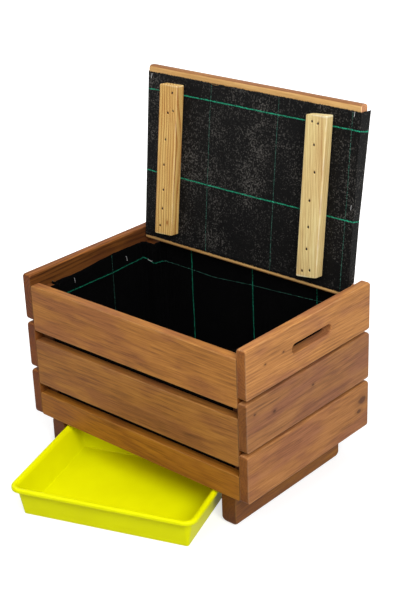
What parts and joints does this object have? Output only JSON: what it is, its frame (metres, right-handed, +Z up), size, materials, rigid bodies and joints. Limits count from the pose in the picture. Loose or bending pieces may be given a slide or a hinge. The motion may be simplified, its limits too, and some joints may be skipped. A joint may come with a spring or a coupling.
{
  "type": "wormery",
  "caption": "Slatted wooden worm compost crate on foot rails, lined with black woven fabric, with a fabric-backed hinged lid standing open and a shallow plastic drip tray partly under it.",
  "frame": {"origin": "on the ground, under the middle of the whole object's box with the lid open and the tray partly out", "axes": "+Z up, +Y from the crate's front boards to its back, +X to the right seen from the front"},
  "size_m": [0.55, 0.5972, 0.6954],
  "materials": {
    "stained_wood": "brown stain, satin",
    "raw_pine": "planed, bare",
    "black_cloth": "woven tape fabric with green marker threads",
    "lime_plastic": "moulded, satin gloss",
    "steel": "plain wire and bar, dull"
  },
  "bodies": {
    "crate": {"side_board_left_top": "stained_wood", "side_board_left_middle": "stained_wood", "side_board_left_bottom": "stained_wood", "side_board_right_top": "stained_wood", "side_board_right_middle": "stained_wood", "side_board_right_bottom": "stained_wood", "front_board_top": "stained_wood", "front_board_middle": "stained_wood", "front_board_bottom": "stained_wood", "back_board_top": "stained_wood", "back_board_middle": "stained_wood", "back_board_bottom": "stained_wood", "corner_post_front_left": "stained_wood", "corner_post_front_right": "stained_wood", "corner_post_rear_left": "stained_wood", "corner_post_rear_right": "stained_wood", "floor_board_front": "stained_wood", "floor_board_middle": "stained_wood", "floor_board_rear": "stained_wood", "foot_rail_left": "stained_wood", "foot_rail_right": "stained_wood", "floor_screw_left_front": "steel", "floor_screw_left_middle": "steel", "floor_screw_left_rear": "steel", "floor_screw_right_front": "steel", "floor_screw_right_middle": "steel", "floor_screw_right_rear": "steel", "crate_lining": "black_cloth"},
    "lid": {"lid_board_1": "stained_wood", "lid_board_2": "stained_wood", "lid_board_3": "stained_wood", "lid_board_4": "stained_wood", "lid_pivot_pin_left": "steel", "lid_pivot_pin_right": "steel", "lid_stop_pin_left": "steel", "lid_stop_pin_right": "steel", "lid_cloth": "black_cloth", "batten_left": "raw_pine", "batten_right": "raw_pine", "batten_nail_left_1": "steel", "batten_nail_left_2": "steel", "batten_nail_left_3": "steel", "batten_nail_left_4": "steel", "batten_nail_left_5": "steel", "batten_nail_left_6": "steel", "batten_nail_left_7": "steel", "batten_nail_left_8": "steel", "batten_nail_right_1": "steel", "batten_nail_right_2": "steel", "batten_nail_right_3": "steel", "batten_nail_right_4": "steel", "batten_nail_right_5": "steel", "batten_nail_right_6": "steel", "batten_nail_right_7": "steel", "batten_nail_right_8": "steel", "batten_nail_right_9": "steel"},
    "tray": {"drip_tray": "lime_plastic"}
  },
  "joints": [
    {"name": "lid_hinge", "type": "hinge", "parent": "crate", "child": "lid", "pos_m": [0, 0.24932, 0.359], "axis": [1, 0, 0], "range_deg": [0, 95.9]},
    {"name": "tray_swing", "type": "hinge", "parent": "crate", "child": "tray", "pos_m": [0.5411, 0.0227, 0], "axis": [0, 0, -1], "range_deg": [-20, 19.5]}
  ]
}
